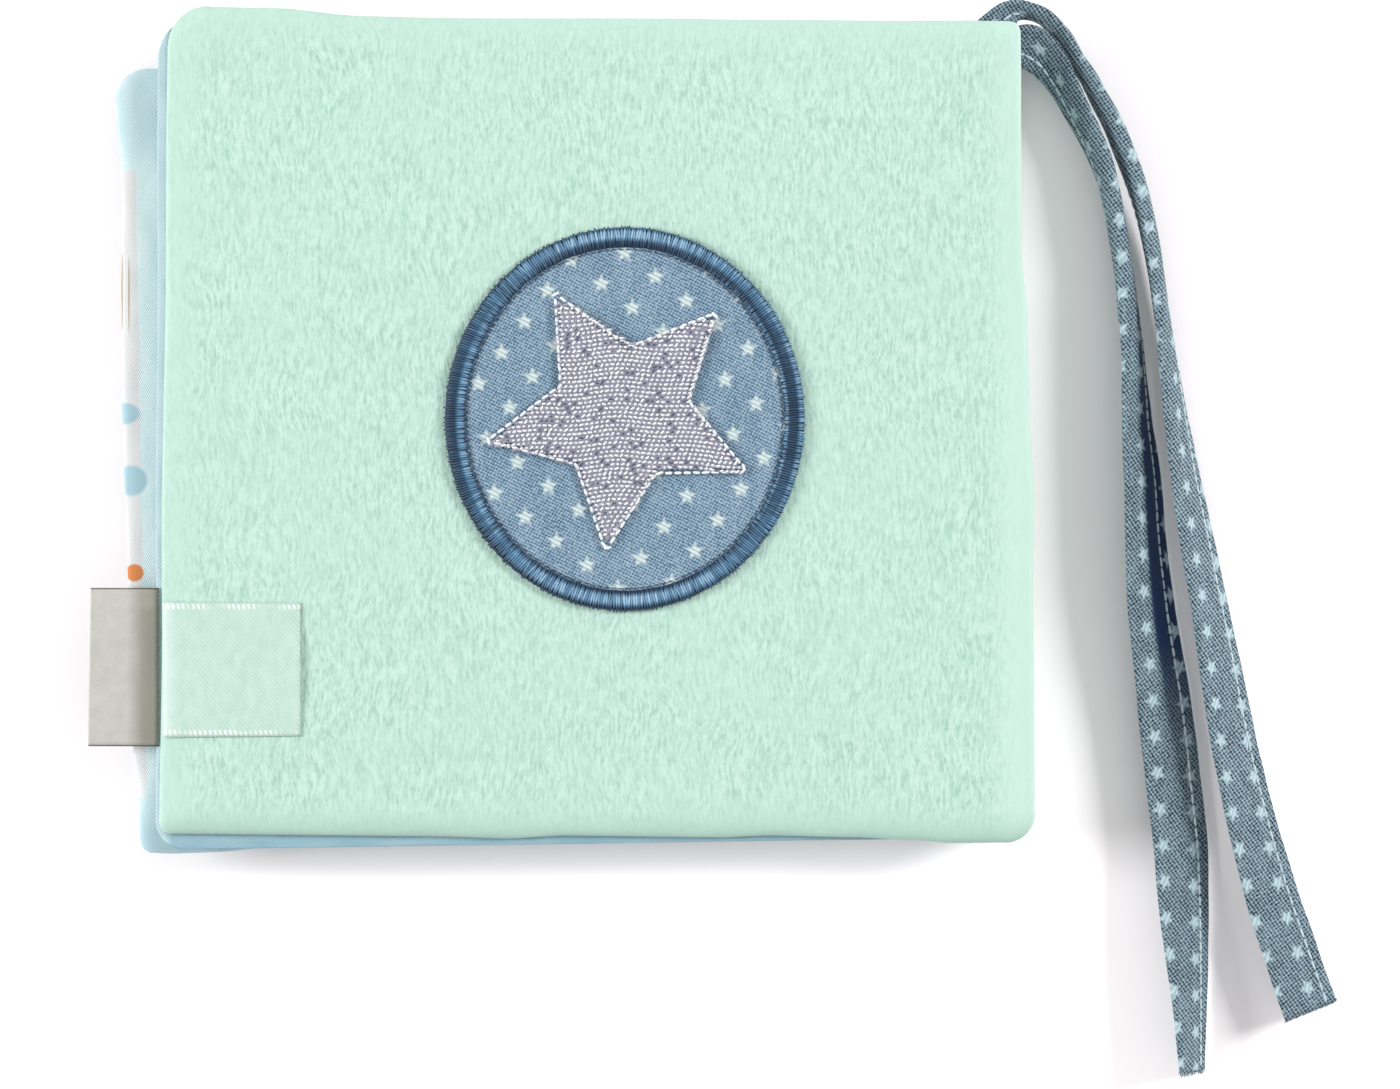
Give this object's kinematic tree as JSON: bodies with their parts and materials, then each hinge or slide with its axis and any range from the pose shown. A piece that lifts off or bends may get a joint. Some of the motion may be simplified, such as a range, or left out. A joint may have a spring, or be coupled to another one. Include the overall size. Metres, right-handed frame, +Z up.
{
  "type": "crinkle cloth book",
  "caption": "Padded baby cloth book, closed: plush covers hinged with a crackling inner leaf at the spine, embroidered disc on top, sewn labels and fabric ties.",
  "frame": {"origin": "middle of the front cover's flat underside, on which the closed book lies", "axes": "+X towards the spine and the ties, +Y towards the top edge of the book, +Z up out of the back cover"},
  "size_m": [0.2309, 0.1983, 0.0193],
  "materials": {
    "mint_plush": "short soft polyester pile, matt",
    "pale_cotton": "plain woven cotton, matt",
    "printed_cotton": null,
    "white_wadding": "lofty polyester wadding",
    "clear_film": "thin crackling film",
    "mint_thread": "sewing thread",
    "white_thread": "sewing thread",
    "navy_thread": "sewing thread",
    "steel_blue_thread": "glossy embroidery thread",
    "lilac_thread": "glossy embroidery thread",
    "star_chambray": "woven chambray with small pale stars",
    "satin_tape": "satin ribbon, low sheen",
    "woven_tape": "fine ribbed woven tape"
  },
  "bodies": {
    "front_cover": {"front_cover_plush": "mint_plush", "front_cover_lining": "pale_cotton", "front_cover_wadding": "white_wadding", "front_cover_crinkle_film": "clear_film", "front_cover_seam_thread": "mint_thread", "inner_tie": "star_chambray", "outer_tie": "star_chambray", "tie_bartack": "steel_blue_thread"},
    "inner_leaf": {"leaf_front_print": "printed_cotton", "leaf_back_print": "printed_cotton", "leaf_wadding": "white_wadding", "leaf_crinkle_film": "clear_film", "leaf_seam_thread": "white_thread", "spine_seam_stitching": "mint_thread"},
    "back_cover": {"back_cover_plush": "mint_plush", "back_cover_lining": "pale_cotton", "back_cover_wadding": "white_wadding", "back_cover_crinkle_film": "clear_film", "back_cover_seam_thread": "mint_thread", "applique_disc": "star_chambray", "applique_satin_ring": "steel_blue_thread", "applique_running_stitch": "navy_thread", "star_embroidery": "lilac_thread", "star_outline_stitch": "white_thread"},
    "care_label_flap": {"care_label": "satin_tape"},
    "side_label_flap": {"side_label": "woven_tape"}
  },
  "joints": [
    {"name": "leaf_turn", "type": "hinge", "parent": "front_cover", "child": "inner_leaf", "pos_m": [0.08112, 0, 0.0086], "axis": [0, 1, 0], "range_deg": [0, 180], "deforming": ["inner_tie", "outer_tie"]},
    {"name": "cover_turn", "type": "hinge", "parent": "inner_leaf", "child": "back_cover", "pos_m": [0.08112, 0, 0.0086], "axis": [0, 1, 0], "range_deg": [0, 180], "deforming": ["inner_tie", "outer_tie"]},
    {"name": "care_label_lift", "type": "hinge", "parent": "back_cover", "child": "care_label_flap", "pos_m": [-0.07948, -0.045, 0.01639], "axis": [0, -1, 0], "range_deg": [0, 110]},
    {"name": "side_label_lift", "type": "hinge", "parent": "back_cover", "child": "side_label_flap", "pos_m": [-0.08067, -0.0446, 0.01425], "axis": [0, 1, 0], "range_deg": [0, 45]}
  ]
}
